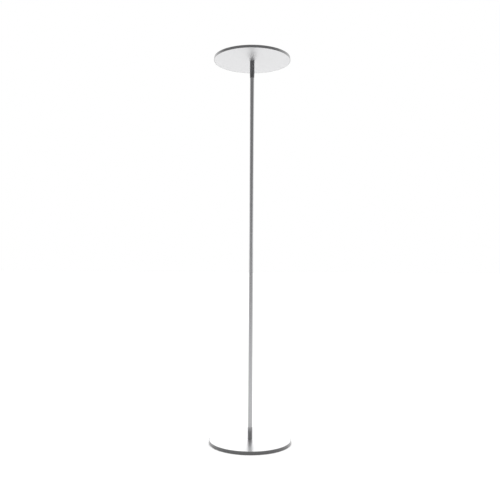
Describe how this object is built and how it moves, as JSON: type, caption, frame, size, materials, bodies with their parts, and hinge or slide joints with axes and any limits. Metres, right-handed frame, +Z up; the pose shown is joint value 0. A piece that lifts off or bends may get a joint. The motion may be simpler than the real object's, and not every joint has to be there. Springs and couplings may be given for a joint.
{
  "type": "torchiere floor lamp",
  "caption": "Uplighting floor lamp: a flat disc head on a slim straight pole, a ballasted disc base, and a rotary dimmer sleeve under the head.",
  "frame": {"origin": "centre of the base's underside, on the floor", "axes": "+Z up along the pole; +Y towards the rear, where the power inlet is; +X to the right seen from the front"},
  "size_m": [0.3799, 0.38, 1.8],
  "materials": {
    "silver_face": "satin anodised",
    "graphite": "satin lacquer",
    "pole_steel": "satin",
    "plain_steel": "machined",
    "foam": "closed cell",
    "adhesive": "matt",
    "black_plastic": "moulded",
    "contact": "plated",
    "bearing_plastic": "natural",
    "magnet": "sintered",
    "circuit_board": "lacquered",
    "component": "moulded",
    "white_board": "white lacquer",
    "led": "clear resin",
    "grey_pad": "matt",
    "insulator": "film",
    "green_plastic": "moulded",
    "white_plastic": "matt white",
    "opal": "satin opal",
    "cable_jacket": "matt",
    "core_sheath": "extruded"
  },
  "bodies": {
    "stand": {"base_band": "graphite", "base_cover": "silver_face", "base_ferrule": "pole_steel", "base_pad": "foam", "base_weight": "plain_steel", "board_insulator": "insulator", "board_links": "black_plastic", "clamp_washer": "plain_steel", "control_board": "circuit_board", "control_parts": "black_plastic", "cover_tape": "adhesive", "dc_jack": "black_plastic", "diffuser": "opal", "diffuser_gasket": "foam", "foot_screws": "plain_steel", "friction_washer": "bearing_plastic", "head_band": "graphite", "head_shell": "silver_face", "hub_nut": "plain_steel", "inlet_bush": "black_plastic", "jack_clamp": "plain_steel", "jack_pin": "contact", "jack_screws": "plain_steel", "led_board": "white_board", "led_board_screws": "plain_steel", "led_chips": "led", "pole_foot": "plain_steel", "pole_top_insert": "plain_steel", "pole_tube": "pole_steel", "reflector_ring": "white_plastic", "sensor_board": "circuit_board", "sensor_chip": "component", "sensor_lead": "core_sheath", "spindle": "plain_steel", "spindle_locknut": "plain_steel", "stop_collar": "plain_steel", "supply_cable": "cable_jacket", "supply_cores": "core_sheath", "terminal_block": "green_plastic", "thermal_pad": "grey_pad", "thrust_washer": "bearing_plastic"},
    "dimmer": {"dimmer_sleeve": "graphite", "lower_bush": "bearing_plastic", "upper_bush": "bearing_plastic", "magnet_ring": "magnet", "stop_pin": "plain_steel"}
  },
  "joints": [
    {"name": "dimmer_turn", "type": "hinge", "parent": "stand", "child": "dimmer", "pos_m": [0, 0, 1.748], "axis": [0, 0, 1], "range_deg": [0, 270]}
  ]
}
